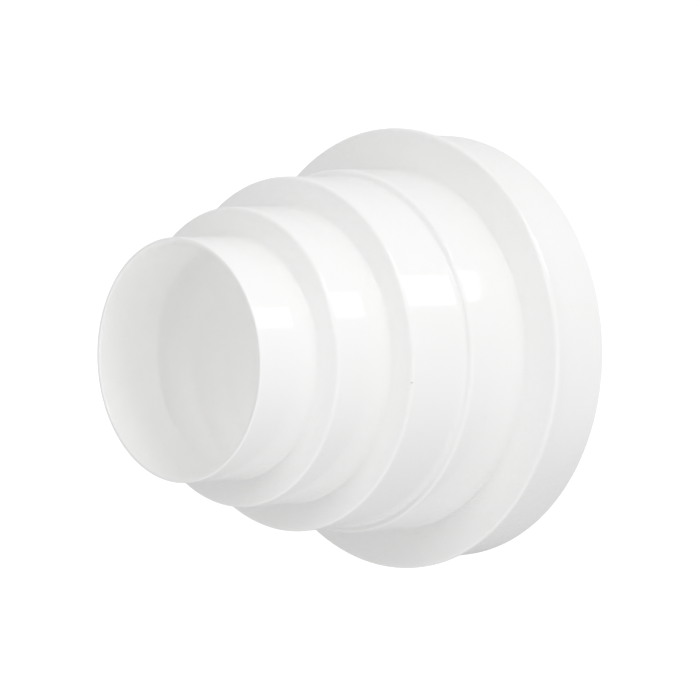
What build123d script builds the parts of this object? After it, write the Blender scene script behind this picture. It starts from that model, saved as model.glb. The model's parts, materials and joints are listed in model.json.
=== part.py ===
"""Stepped duct reducer: one thin-walled moulding that joins round ducts of five sizes.

The part stands on its large rim, with the airway along +Z and the narrow nose on top.
Lengths are in millimetres.
"""

import os
from itertools import pairwise
from math import copysign

from build123d import *

# Outside diameters of the spigots, which slip into ducts of 80, 100, 120, 125 and 150 mm
spigot_80_diameter = 80.0
spigot_100_diameter = 99.5
spigot_120_diameter = 119.5
spigot_125_diameter = 124.5
spigot_150_diameter = 149.0

# Length of each step along the axis, shoulders included
spigot_80_length = 24.5
spigot_100_length = 24.0
spigot_120_length = 25.5
spigot_125_length = 25.5
spigot_150_length = 26.3

# Stop flange level with the widest shoulder, which the end of a 150 mm duct butts against
flange_overhang = 2.25
flange_thickness = 1.6

# Thickness of every wall and shoulder
wall = 1.5

# Radii of the rounded corners of the wall
lip_round = 0.6
rim_round = 0.35
shoulder_round = 1.3
flange_round = 1.3
root_fillet = 0.9
airway_round = 0.5

# Largest share of a wall or shoulder that one of its rounded corners may take
corner_share = 0.45

# Rounding of a corner that stays sharp
sharp = 0.0

# The steps from the large rim up to the nose: outside radius, length, and overhang of the upper edge
no_overhang = 0.0
steps = [
    (spigot_150_diameter / 2, spigot_150_length, flange_overhang),
    (spigot_125_diameter / 2, spigot_125_length, no_overhang),
    (spigot_120_diameter / 2, spigot_120_length, no_overhang),
    (spigot_100_diameter / 2, spigot_100_length, no_overhang),
    (spigot_80_diameter / 2, spigot_80_length, no_overhang),
]


def corner(radius, height, rounding, room):
    """A corner of the section with its rounding, which may not outgrow the room beside it."""
    return (radius, height), min(rounding, corner_share * room)


def upper_edge(radius, height, overhang, width):
    """Outer edge of a shoulder: a plain corner, or the rim of a flange with its root under it.

    The mould parts at the flange's lower edge, which stays sharp and leaves its rim to the upper one.
    """
    if not overhang:
        return [corner(radius, height, shoulder_round, width)]
    reach = radius + overhang
    underside = height - flange_thickness
    return [
        corner(radius, underside, root_fillet, overhang),
        corner(reach, underside, sharp, flange_thickness),
        corner(reach, height, flange_round, 2 * flange_thickness),
    ]


def wall_section():
    """Half section of the wall: up the outside, over the lip and down the airway."""
    height = 0.0
    foot = steps[0][0]
    outside = [corner(foot, height, rim_round, wall)]
    airway = [corner(foot - wall, height, rim_round, wall)]
    for (below, length, overhang), (above, _, _) in pairwise(steps):
        height += length
        width = abs(below - above)
        underside = height - copysign(wall, below - above)
        outside.extend(upper_edge(below, height, overhang, width))
        outside.append(corner(above, height, root_fillet, width))
        airway.append(corner(below - wall, underside, airway_round, width))
        airway.append(corner(above - wall, underside, airway_round, width))
    nose, length, _ = steps[-1]
    height += length
    outside.append(corner(nose, height, lip_round, wall))
    airway.append(corner(nose - wall, height, lip_round, wall))
    points, rounds = zip(*outside, *reversed(airway))
    return make_face(FilletPolyline(*points, radius=rounds, close=True))


def reducer():
    """The moulding: its wall section turned once round the airway."""
    body = revolve(Plane.XZ * wall_section(), Axis.Z)
    body.label = "reducer"
    return body


os.makedirs("parts", exist_ok=True)
export_step(reducer(), "parts/reducer.step")
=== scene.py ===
"""A white moulded duct reducer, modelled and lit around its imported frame.

The reducer stands on its large rim, with its airway along +Z. Lengths are in metres.
"""

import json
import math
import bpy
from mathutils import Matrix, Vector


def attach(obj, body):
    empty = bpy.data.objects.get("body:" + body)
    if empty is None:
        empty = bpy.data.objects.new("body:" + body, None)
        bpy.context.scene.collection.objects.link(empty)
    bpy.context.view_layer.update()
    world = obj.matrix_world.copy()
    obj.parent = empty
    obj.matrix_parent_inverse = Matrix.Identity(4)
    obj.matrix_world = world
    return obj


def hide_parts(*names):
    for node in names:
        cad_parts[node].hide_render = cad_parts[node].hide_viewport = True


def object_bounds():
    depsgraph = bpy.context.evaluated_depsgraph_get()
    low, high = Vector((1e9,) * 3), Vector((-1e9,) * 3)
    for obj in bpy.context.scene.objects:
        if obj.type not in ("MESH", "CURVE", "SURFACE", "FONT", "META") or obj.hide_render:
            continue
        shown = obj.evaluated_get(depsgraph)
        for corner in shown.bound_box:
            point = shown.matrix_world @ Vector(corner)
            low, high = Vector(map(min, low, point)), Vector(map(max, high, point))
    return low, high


bl_info = {
    "name": "Stepped duct reducer",
    "version": (1, 0, 0),
    "blender": (4, 5, 0),
    "location": "View3D > Sidebar > Duct reducer",
    "description": "Models a stepped duct reducer in glossy white plastic on a studio floor",
    "category": "Object",
}

import bpy
from bpy.props import FloatProperty, FloatVectorProperty, IntProperty, PointerProperty
from mathutils import Matrix, Vector

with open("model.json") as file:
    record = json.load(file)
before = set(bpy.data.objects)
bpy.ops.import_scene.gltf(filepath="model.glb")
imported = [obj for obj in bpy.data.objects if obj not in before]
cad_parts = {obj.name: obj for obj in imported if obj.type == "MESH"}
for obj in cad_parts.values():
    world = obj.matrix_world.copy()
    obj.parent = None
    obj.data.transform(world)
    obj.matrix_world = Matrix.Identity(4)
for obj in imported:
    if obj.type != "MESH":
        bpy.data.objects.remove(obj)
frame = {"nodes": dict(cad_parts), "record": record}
cad_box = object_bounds()

MM = 0.001
NODE = "reducer"
BODY = "root"
WHITE = (1.0, 1.0, 1.0, 1.0)

# How nearly straight up a flat face of the frame looks, and the decimals that its height is read to
LOOKS_UP = 0.9999
HEIGHT_DECIMALS = 5

# Rounding of the flange's lower edge, where the mould parts, and the profile of a corner that is round
SHARP = 0.0
ROUND_PROFILE = 0.5

# How far from a corner of the section a vertex may lie and still belong to it
CORNER_REACH = 0.02 * MM

# The widest angle that shades smooth, and the weight that keeps flat faces flat beside rounded corners
SHARPEST_SMOOTH_ANGLE = math.radians(40)
FLAT_FACE_WEIGHT = 100

# Lengths of the plastic's drifts in tone, uneven polish and cooling waves, and the waves' height
TONE_LENGTH = 40 * MM
POLISH_LENGTH = 8 * MM
WAVE_LENGTH = 18 * MM
WAVE_HEIGHT = 0.006 * MM

# Spacing of the specks of dust, and the radii at which a speck starts to fade and ends
DUST_SPACING = 14 * MM
DUST_CORE = 0.238 * MM
DUST_EDGE = 0.364 * MM

# Refractive index of ABS, and its roughness where the tool was polished best and least
ABS_IOR = 1.54
BEST_POLISH = 0.08
LEAST_POLISH = 0.13

# The values that a noise pattern mostly stays between
NOISE_LOW = 0.3
NOISE_HIGH = 0.7

# Where the photograph was taken from, in its own frame of 700 by 700 pixels
PHOTO_SIDE = 700
FOCAL_LENGTH_PX = 2891.7
NOSE_CENTRE_PX = (176.25, 360.26)
NOSE_DISTANCE = 937.96 * MM
AXIS_FROM_VIEW = math.radians(44.986)
AXIS_RISE = math.radians(3.096)

# Width of the camera's sensor in millimetres, and the nearest and farthest that the camera sees
SENSOR_WIDTH = 36.0
NEAREST_SEEN = 0.05
FARTHEST_SEEN = 50.0

# The two softboxes, one above the other: their azimuth in degrees and their distance from the part
SOFTBOX_AZIMUTH = -44
SOFTBOX_DISTANCE = 1.0

# The elevation of each softbox in degrees, and its width and height
HIGH_SOFTBOX_ELEVATION = 60
HIGH_SOFTBOX_SIZE = (0.4, 0.6)
LOW_SOFTBOX_ELEVATION = 8
LOW_SOFTBOX_SIZE = (0.4, 0.25)

# Azimuth and elevation of the lamps outside the tent, and the angle at which each one's patch ends
FRONT_LAMP_WAY = (-100, 0)
FRONT_LAMP_SPREAD = 50
LEFT_LAMP_WAY = (-180, 15)
LEFT_LAMP_SPREAD = 45

# Roughness of the floor's matt board
BOARD_ROUGHNESS = 0.9

# Way across the floor to its bright side, and how far from the part's axis its light stops growing
BRIGHT_SIDE = math.radians(-30)
GLOW_REACH = 150 * MM

# Painted light in the floor's glow: the brighter pool of light on the floor inside the part, its middle and
# its radius
POOL_MIDDLE = (0.0, 0.0, 0.0)
POOL_RADIUS = 72 * MM

# The part's painted shadow in the floor's glow: the dim patch of floor beside the part, to its front and
# left, its middle and its radius
SHADE_MIDDLE = (-82 * MM, -50 * MM, 0.0)
SHADE_RADIUS = 70 * MM

# The share of its radius over which such a patch stays even before it fades
EVEN_SHARE = 0.5

# Corners of the strip light that the walls mirror, near side first, and its height above the floor
STRIP_CORNERS = (
    (56 * MM, -82 * MM),
    (120 * MM, -133 * MM),
    (78 * MM, -164 * MM),
    (37 * MM, -96 * MM),
)
STRIP_HEIGHT = 0.5 * MM

# Times that light may bounce between the white walls, which fill the airway with it
LIGHT_BOUNCES = 24


def mount_radius(name):
    """Radius of one of the frame's round mounts."""
    for mount in frame["record"]["mounts"]:
        if mount["name"] == name:
            return mount["dims"]["r_mm"] * MM
    raise RuntimeError(f"the frame has no mount named {name}")


def shoulder_heights():
    """Heights of the frame's flat faces that look up, from the widest shoulder to the nose's lip."""
    mesh = frame["nodes"][NODE].data
    heights = {round(face.center.z, HEIGHT_DECIMALS) for face in mesh.polygons if face.normal.z > LOOKS_UP}
    return sorted(heights)


def to_linear(hex_colour):
    """Linear RGB of an sRGB colour written as #RRGGBB."""
    channels = [int(hex_colour[k:k + 2], 16) / 255 for k in (1, 3, 5)]
    return tuple(c / 12.92 if c <= 0.04045 else ((c + 0.055) / 1.055) ** 2.4 for c in channels)


HEIGHTS = shoulder_heights()


def size_property(name, description, default):
    """A length that the user can change."""
    return FloatProperty(name=name, description=description, default=default, min=0.0,
                         precision=5, unit="LENGTH", subtype="DISTANCE")


def spigot_property(name, duct):
    """The outside radius of the spigot for a duct of this many millimetres, as the frame has it."""
    return size_property(name, f"Outside radius of the {duct} mm spigot", mount_radius(f"spigot_{duct}"))


def colour_property(name, description, hex_colour):
    """A colour that the user can change."""
    return FloatVectorProperty(name=name, description=description, default=to_linear(hex_colour),
                               size=3, min=0, max=1, subtype="COLOR")


def level_property(name, description, default):
    """A brightness, in units of a white that just reaches full scale."""
    return FloatProperty(name=name, description=description, default=default, min=0.0)


def power_property(name, description, default):
    """The power of a lamp."""
    return FloatProperty(name=name, description=description, default=default, min=0.0, unit="POWER")


class DuctSizes(bpy.types.PropertyGroup):
    """Sizes of the moulding"""

    nose_radius: spigot_property("Nose radius", 80)
    second_radius: spigot_property("Second radius", 100)
    third_radius: spigot_property("Third radius", 120)
    fourth_radius: spigot_property("Fourth radius", 125)
    foot_radius: spigot_property("Foot radius", 150)
    flange_radius: size_property("Flange radius", "Outside radius of the stop flange", cad_box[1][0])
    flange_thickness: size_property("Flange thickness", "Thickness of the stop flange", 1.6 * MM)
    wall: size_property("Wall", "Thickness of every wall and shoulder", 1.5 * MM)
    lip_round: size_property("Lip round", "Rounding of both edges of the nose's lip", 0.6 * MM)
    rim_round: size_property("Rim round", "Rounding of both edges of the large rim", 0.35 * MM)
    shoulder_round: size_property("Shoulder round", "Rounding of each shoulder's outer edge", 1.3 * MM)
    step_round: size_property("Step round", "Rounding of the outer edge of the low fourth step", 1.125 * MM)
    flange_round: size_property("Flange round", "Rounding of the stop flange's upper edge", 1.3 * MM)
    root_fillet: size_property("Root fillet", "Fillet in the corner under each wall or flange", 0.9 * MM)
    airway_round: size_property("Airway round", "Rounding of the corners of the airway", 0.5 * MM)
    around: IntProperty(name="Sides", description="Straight sides that stand for a full circle",
                        default=240, min=24)
    round_steps: IntProperty(name="Round steps", description="Strips across each rounded corner",
                             default=6, min=1)


class DuctFinish(bpy.types.PropertyGroup):
    """Colours of the moulding"""

    plastic: colour_property("Plastic", "Colour of the moulded plastic", "#FDFDFD")
    drift: colour_property("Drift", "Colour that the plastic drifts to in places", "#FBFBFA")
    dust: colour_property("Dust", "Colour of the specks of dust on the plastic", "#C6C6C4")


class DuctStage(bpy.types.PropertyGroup):
    """The floor and the studio light"""

    floor: colour_property("Floor", "Colour of the studio floor", "#808080")
    floor_side: size_property("Floor side", "Side of the square studio floor", 8.0)
    floor_glow: level_property("Floor glow", "Light that the floor's dim side gives to the part", 0.391)
    floor_gain: level_property("Floor gain", "Light that the floor's bright side gives on top of it", 0.276)
    inner_gain: level_property("Inner gain", "Light that the floor inside the part adds to both", 0.265)
    shade: level_property("Shade", "Light that the floor lacks beside the part", 0.085)
    seen_glow: level_property("Seen glow", "Light of the floor in the picture, where it is white", 1.0)
    strip_glow: level_property("Strip glow", "Light that the strip adds to the floor's", 2.0)
    tent_glow: level_property("Tent glow", "Light that the tent gives evenly from all round", 0.515)
    front_glow: level_property("Front glow", "Light that the lamp outside the tent's front adds", 0.713)
    left_glow: level_property("Left glow", "Light that the lamp outside the tent's left side adds", 0.765)
    high_power: power_property("High power", "Power of the softbox that looks down on the part", 1.643)
    low_power: power_property("Low power", "Power of the softbox that stands low beside the part", 1.576)


def add_node(tree, kind, settings=None, values=None, links=None):
    """Add a shader node with its settings, its input values and its links."""
    node = tree.nodes.new(kind)
    for name, value in (settings or {}).items():
        setattr(node, name, value)
    for socket, value in (values or {}).items():
        node.inputs[socket].default_value = value
    for socket, source in (links or {}).items():
        tree.links.new(source, node.inputs[socket])
    return node


def new_material(name):
    """A material with an empty node tree."""
    material = bpy.data.materials.new(name)
    material.use_nodes = True
    material.node_tree.nodes.clear()
    return material


def moulded_abs(finish):
    """White ABS moulded against a polished tool.

    The melt drifts a little in tone and cools into long, shallow waves that bend the highlights. The
    polish of the tool is a touch uneven, and a few specks of dust cling to the walls. Real specks are too
    fine to show, so they are drawn larger than life.
    """
    material = new_material("moulded_white_abs")
    tree = material.node_tree
    place = add_node(tree, "ShaderNodeTexCoord").outputs["Object"]

    tone_noise = add_node(tree, "ShaderNodeTexNoise", links={"Vector": place},
                          values={"Scale": 1 / TONE_LENGTH, "Detail": 2.0})
    tone = add_node(tree, "ShaderNodeMix", {"data_type": "RGBA"},
                    links={"Factor": tone_noise.outputs["Fac"]},
                    values={"A": (*finish.plastic, 1.0), "B": (*finish.drift, 1.0)})

    specks = add_node(tree, "ShaderNodeTexVoronoi", links={"Vector": place},
                      values={"Scale": 1 / DUST_SPACING, "Randomness": 1.0})
    dust = add_node(tree, "ShaderNodeMapRange", links={"Value": specks.outputs["Distance"]},
                    values={"From Min": DUST_CORE / DUST_SPACING, "From Max": DUST_EDGE / DUST_SPACING,
                            "To Min": 1.0, "To Max": 0.0})
    colour = add_node(tree, "ShaderNodeMix", {"data_type": "RGBA"}, values={"B": (*finish.dust, 1.0)},
                      links={"Factor": dust.outputs["Result"], "A": tone.outputs["Result"]})

    polish_noise = add_node(tree, "ShaderNodeTexNoise", links={"Vector": place},
                            values={"Scale": 1 / POLISH_LENGTH, "Detail": 3.0})
    polish = add_node(tree, "ShaderNodeMapRange", links={"Value": polish_noise.outputs["Fac"]},
                      values={"From Min": NOISE_LOW, "From Max": NOISE_HIGH,
                              "To Min": BEST_POLISH, "To Max": LEAST_POLISH})

    waves = add_node(tree, "ShaderNodeTexNoise", links={"Vector": place},
                     values={"Scale": 1 / WAVE_LENGTH, "Detail": 1.0})
    cooled = add_node(tree, "ShaderNodeBump", links={"Height": waves.outputs["Fac"]},
                      values={"Strength": 1.0, "Distance": WAVE_HEIGHT})

    shader = add_node(tree, "ShaderNodeBsdfPrincipled", values={"IOR": ABS_IOR}, links={
        "Base Color": colour.outputs["Result"],
        "Roughness": polish.outputs["Result"],
        "Normal": cooled.outputs["Normal"],
    })
    add_node(tree, "ShaderNodeOutputMaterial", links={"Surface": shader.outputs["BSDF"]})
    return material


def studio_white(stage):
    """Matt white board of a light table, which the camera sees as plain white.

    The lamps under the board stand to one side, so its light on the part grows across it. A brighter pool
    of light is painted into that glow inside the part, and the part's shadow is painted into it as a weaker
    patch beside it.
    """
    material = new_material("matt_white_board")
    tree = material.node_tree
    place = add_node(tree, "ShaderNodeTexCoord").outputs["Object"]
    across = add_node(tree, "ShaderNodeVectorMath", {"operation": "DOT_PRODUCT"}, links={0: place},
                      values={1: (math.cos(BRIGHT_SIDE), math.sin(BRIGHT_SIDE), 0.0)})
    slope = add_node(tree, "ShaderNodeMapRange", {"interpolation_type": "SMOOTHSTEP"},
                     links={"Value": across.outputs["Value"]},
                     values={"From Min": -GLOW_REACH, "From Max": GLOW_REACH,
                             "To Min": stage.floor_glow, "To Max": stage.floor_glow + stage.floor_gain})
    level = slope.outputs["Result"]
    # Paint a pool of light inside the part and the part's shadow beside it into the floor's glow
    for middle, radius, gain in (
        (POOL_MIDDLE, POOL_RADIUS, stage.inner_gain),
        (SHADE_MIDDLE, SHADE_RADIUS, -stage.shade),
    ):
        distance = add_node(tree, "ShaderNodeVectorMath", {"operation": "DISTANCE"},
                            values={1: middle}, links={0: place})
        patch = add_node(tree, "ShaderNodeMapRange", {"interpolation_type": "SMOOTHSTEP"},
                         links={"Value": distance.outputs["Value"]},
                         values={"From Min": EVEN_SHARE * radius, "From Max": radius,
                                 "To Min": gain, "To Max": 0.0})
        level = add_node(tree, "ShaderNodeMath", {"operation": "ADD"},
                         links={0: level, 1: patch.outputs["Result"]}).outputs["Value"]

    board = {
        "Base Color": (*stage.floor, 1.0),
        "Roughness": BOARD_ROUGHNESS,
        "Specular IOR Level": 0.0,
        "Emission Color": WHITE,
        "Emission Strength": stage.seen_glow,
    }
    lit_board = add_node(tree, "ShaderNodeBsdfPrincipled", values=board, links={"Emission Strength": level})
    seen_board = add_node(tree, "ShaderNodeBsdfPrincipled", values=board)
    path = add_node(tree, "ShaderNodeLightPath")
    floor = add_node(tree, "ShaderNodeMixShader", links={
        "Fac": path.outputs["Is Camera Ray"],
        1: lit_board.outputs["BSDF"],
        2: seen_board.outputs["BSDF"],
    })
    add_node(tree, "ShaderNodeOutputMaterial", links={"Surface": floor.outputs["Shader"]})
    return material


def wall_corners(sizes):
    """Corners of the wall's half section, up the outside and down the airway, each with its rounding."""
    radii = [sizes.foot_radius, sizes.fourth_radius, sizes.third_radius,
             sizes.second_radius, sizes.nose_radius]
    edges = [sizes.flange_radius, *radii[1:]]
    edge_rounds = [sizes.flange_round, sizes.step_round, sizes.shoulder_round, sizes.shoulder_round]
    under_flange = HEIGHTS[0] - sizes.flange_thickness
    outside = [
        (sizes.foot_radius, 0.0, sizes.rim_round),
        (sizes.foot_radius, under_flange, sizes.root_fillet),
        (sizes.flange_radius, under_flange, SHARP),
    ]
    airway = [(sizes.foot_radius - sizes.wall, 0.0, sizes.rim_round)]
    for below, edge, edge_round, above, height in zip(radii, edges, edge_rounds, radii[1:], HEIGHTS):
        outside.append((edge, height, edge_round))
        outside.append((above, height, sizes.root_fillet))
        airway.append((below - sizes.wall, height - sizes.wall, sizes.airway_round))
        airway.append((above - sizes.wall, height - sizes.wall, sizes.airway_round))
    outside.append((radii[-1], HEIGHTS[-1], sizes.lip_round))
    airway.append((radii[-1] - sizes.wall, HEIGHTS[-1], sizes.lip_round))
    return outside + airway[::-1]


def select_rings(mesh, corners):
    """Select the edges that run round the part at these corners, in edit mode."""
    bpy.ops.object.mode_set(mode="OBJECT")
    places = [Vector((radius, height)) for radius, height, _ in corners]
    for group in (mesh.vertices, mesh.edges, mesh.polygons):
        group.foreach_set("select", [False] * len(group))
    spots = [Vector((vertex.co.xy.length, vertex.co.z)) for vertex in mesh.vertices]
    for edge in mesh.edges:
        first, last = (spots[k] for k in edge.vertices)
        level = (first - last).length < CORNER_REACH
        if level and any((first - place).length < CORNER_REACH for place in places):
            edge.select = True
    bpy.ops.object.mode_set(mode="EDIT")


class DUCT_OT_reducer_body(bpy.types.Operator):
    """Raise the stepped wall ring by ring, close it and round its corners"""

    bl_idname = "duct.reducer_body"
    bl_label = "Reducer body"

    def execute(self, context):
        sizes = context.scene.duct_sizes
        corners = wall_corners(sizes)
        bpy.ops.object.select_all(action="DESELECT")
        radius, height, _ = corners[0]
        bpy.ops.mesh.primitive_circle_add(vertices=sizes.around, radius=radius, location=(0, 0, height))
        body = context.object
        body.name = body.data.name = "reducer_body"
        bpy.ops.object.mode_set(mode="EDIT")
        context.tool_settings.mesh_select_mode = (False, True, False)
        bpy.ops.mesh.select_all(action="SELECT")
        for next_radius, next_height, _ in corners[1:]:
            bpy.ops.mesh.extrude_region_move(
                TRANSFORM_OT_translate={"value": (0, 0, next_height - height)})
            growth = next_radius / radius
            bpy.ops.transform.resize(value=(growth, growth, 1.0), center_override=(0, 0, next_height))
            radius, height = next_radius, next_height
        bpy.ops.mesh.select_all(action="DESELECT")
        bpy.ops.mesh.select_non_manifold()
        bpy.ops.mesh.bridge_edge_loops()
        bpy.ops.mesh.select_all(action="SELECT")
        bpy.ops.mesh.normals_make_consistent(inside=False)
        for rounding in sorted({own_rounding for _, _, own_rounding in corners} - {SHARP}):
            select_rings(body.data, [corner for corner in corners if corner[-1] == rounding])
            bpy.ops.mesh.bevel(offset=rounding, offset_type="OFFSET", segments=sizes.round_steps,
                               profile=ROUND_PROFILE, affect="EDGES", clamp_overlap=False)
        bpy.ops.object.mode_set(mode="OBJECT")
        bpy.ops.object.shade_smooth_by_angle(angle=SHARPEST_SMOOTH_ANGLE)
        even_faces = body.modifiers.new("even_faces", "WEIGHTED_NORMAL")
        even_faces.weight = FLAT_FACE_WEIGHT
        even_faces.keep_sharp = True
        bpy.ops.object.modifier_apply(modifier="even_faces")
        body.data.materials.append(moulded_abs(context.scene.duct_finish))
        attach(body, BODY)
        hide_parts(NODE)
        return {"FINISHED"}


def photo_camera_matrix():
    """Camera place and turn that put the part where the photograph shows it."""
    centre = PHOTO_SIDE / 2
    nose_in_view = Vector(((NOSE_CENTRE_PX[0] - centre) / FOCAL_LENGTH_PX,
                           (centre - NOSE_CENTRE_PX[1]) / FOCAL_LENGTH_PX, -1.0)) * NOSE_DISTANCE
    up_in_view = Vector((-math.sin(AXIS_FROM_VIEW) * math.cos(AXIS_RISE),
                         -math.sin(AXIS_FROM_VIEW) * math.sin(AXIS_RISE),
                         math.cos(AXIS_FROM_VIEW)))
    side_in_view = Vector((0.0, 1.0, 0.0))
    side_in_view = (side_in_view - side_in_view.dot(up_in_view) * up_in_view).normalized()
    front_in_view = up_in_view.cross(side_in_view)
    turn = Matrix((side_in_view, front_in_view, up_in_view))
    nose = Vector((0.0, 0.0, HEIGHTS[-1]))
    return Matrix.Translation(nose - turn @ nose_in_view) @ turn.to_4x4()


def add_photo_camera():
    """The camera that sees the part as the photograph does."""
    lens = bpy.data.cameras.new("photo_camera")
    lens.sensor_width = SENSOR_WIDTH
    lens.lens = FOCAL_LENGTH_PX / PHOTO_SIDE * SENSOR_WIDTH
    lens.clip_start = NEAREST_SEEN
    lens.clip_end = FARTHEST_SEEN
    camera = bpy.data.objects.new("photo_camera", lens)
    camera.matrix_world = photo_camera_matrix()
    bpy.context.collection.objects.link(camera)
    return camera


def way_to(azimuth, elevation):
    """Unit vector towards this azimuth and elevation, in degrees."""
    turn, rise = math.radians(azimuth), math.radians(elevation)
    return Vector((math.cos(turn) * math.cos(rise), math.sin(turn) * math.cos(rise), math.sin(rise)))


def add_softbox(name, elevation, size, power):
    """A softbox that faces the part and throws the soft shadows on its shoulders."""
    data = bpy.data.lights.new(name, "AREA")
    data.shape = "RECTANGLE"
    data.size, data.size_y = size
    data.energy = power
    way = way_to(SOFTBOX_AZIMUTH, elevation)
    middle = Vector((0.0, 0.0, HEIGHTS[-1] / 2))
    light = bpy.data.objects.new(name, data)
    light.matrix_world = (Matrix.Translation(middle + way * SOFTBOX_DISTANCE)
                          @ (-way).to_track_quat("-Z", "Y").to_matrix().to_4x4())
    light.visible_camera = False
    bpy.context.collection.objects.link(light)


def light_tent(stage):
    """World of a white tent: even light all round, and a soft patch where each lamp stands outside it.

    The front lamp's patch carries the even light too.
    """
    world = bpy.data.worlds.new("light_tent")
    world.use_nodes = True
    tree = world.node_tree
    tree.nodes.clear()
    seen_way = add_node(tree, "ShaderNodeTexCoord").outputs["Generated"]
    patches = []
    for way, spread, glow, even_glow in (
        (FRONT_LAMP_WAY, FRONT_LAMP_SPREAD, stage.front_glow, stage.tent_glow),
        (LEFT_LAMP_WAY, LEFT_LAMP_SPREAD, stage.left_glow, 0.0),
    ):
        nearness = add_node(tree, "ShaderNodeVectorMath", {"operation": "DOT_PRODUCT"},
                            values={1: way_to(*way)}, links={0: seen_way})
        patch = add_node(tree, "ShaderNodeMapRange", {"interpolation_type": "SMOOTHSTEP"},
                         links={"Value": nearness.outputs["Value"]},
                         values={"From Min": math.cos(math.radians(spread)),
                                 "To Min": even_glow, "To Max": even_glow + glow})
        patches.append(patch.outputs["Result"])
    cloth = add_node(tree, "ShaderNodeMath", {"operation": "ADD"}, links=dict(enumerate(patches)))
    sky = add_node(tree, "ShaderNodeBackground", values={"Color": WHITE},
                   links={"Strength": cloth.outputs["Value"]})
    add_node(tree, "ShaderNodeOutputWorld", links={"Surface": sky.outputs["Background"]})
    return world


def opal_cover(stage):
    """Opal cover of the strip light, which adds its glow to what lies under it."""
    material = new_material("opal_light_cover")
    tree = material.node_tree
    glow = add_node(tree, "ShaderNodeEmission", values={"Color": WHITE, "Strength": stage.strip_glow})
    clear = add_node(tree, "ShaderNodeBsdfTransparent")
    cover = add_node(tree, "ShaderNodeAddShader",
                     links={0: glow.outputs["Emission"], 1: clear.outputs["BSDF"]})
    add_node(tree, "ShaderNodeOutputMaterial", links={"Surface": cover.outputs["Shader"]})
    return material


def add_strip_light(stage):
    """A tapered light that lies on the floor in front of the part and shows only in reflections."""
    bpy.ops.object.select_all(action="DESELECT")
    bpy.ops.mesh.primitive_plane_add(size=1.0)
    strip = bpy.context.object
    strip.name = strip.data.name = "strip_light"
    for index, (x, y) in zip(strip.data.polygons[0].vertices, STRIP_CORNERS):
        strip.data.vertices[index].co = (x, y, STRIP_HEIGHT)
    strip.data.materials.append(opal_cover(stage))
    strip.visible_camera = False
    strip.visible_diffuse = False
    return strip


class DUCT_OT_studio_stage(bpy.types.Operator):
    """Lay the floor, hang the lights and set up the camera"""

    bl_idname = "duct.studio_stage"
    bl_label = "Studio stage"

    def execute(self, context):
        stage = context.scene.duct_stage
        bpy.ops.object.select_all(action="DESELECT")
        bpy.ops.mesh.primitive_plane_add(size=stage.floor_side, location=(0, 0, 0))
        floor = context.object
        floor.name = floor.data.name = "studio_floor"
        floor.data.materials.append(studio_white(stage))

        add_strip_light(stage)
        add_softbox("high_softbox", HIGH_SOFTBOX_ELEVATION, HIGH_SOFTBOX_SIZE, stage.high_power)
        add_softbox("low_softbox", LOW_SOFTBOX_ELEVATION, LOW_SOFTBOX_SIZE, stage.low_power)
        context.scene.world = light_tent(stage)
        context.scene.cycles.max_bounces = LIGHT_BOUNCES
        context.scene.cycles.diffuse_bounces = LIGHT_BOUNCES
        # Guided by albedo and normals, the denoiser would draw thin lines along the soft root fillets
        context.scene.cycles.denoising_input_passes = "RGB"

        context.scene.camera = add_photo_camera()
        context.scene.view_settings.view_transform = "Standard"
        return {"FINISHED"}


class DUCT_PT_reducer(bpy.types.Panel):
    """Sizes, finish and building steps of the duct reducer"""

    bl_label = "Duct reducer"
    bl_idname = "DUCT_PT_reducer"
    bl_space_type = "VIEW_3D"
    bl_region_type = "UI"
    bl_category = "Duct reducer"

    def draw(self, context):
        for group in (context.scene.duct_sizes, context.scene.duct_finish, context.scene.duct_stage):
            box = self.layout.box()
            for name in group.__annotations__:
                box.prop(group, name)
        self.layout.operator(DUCT_OT_reducer_body.bl_idname)
        self.layout.operator(DUCT_OT_studio_stage.bl_idname)


CLASSES = (DuctSizes, DuctFinish, DuctStage, DUCT_OT_reducer_body, DUCT_OT_studio_stage, DUCT_PT_reducer)


def register():
    """Make the panel and its steps known, and give each scene the part's values."""
    for item in CLASSES:
        bpy.utils.register_class(item)
    bpy.types.Scene.duct_sizes = PointerProperty(type=DuctSizes)
    bpy.types.Scene.duct_finish = PointerProperty(type=DuctFinish)
    bpy.types.Scene.duct_stage = PointerProperty(type=DuctStage)


def unregister():
    """Take back what register made."""
    del bpy.types.Scene.duct_sizes
    del bpy.types.Scene.duct_finish
    del bpy.types.Scene.duct_stage
    for item in reversed(CLASSES):
        bpy.utils.unregister_class(item)


def main():
    """Build the part and its stage."""
    register()
    bpy.ops.duct.reducer_body()
    bpy.ops.duct.studio_stage()


if __name__ == "__main__":
    main()
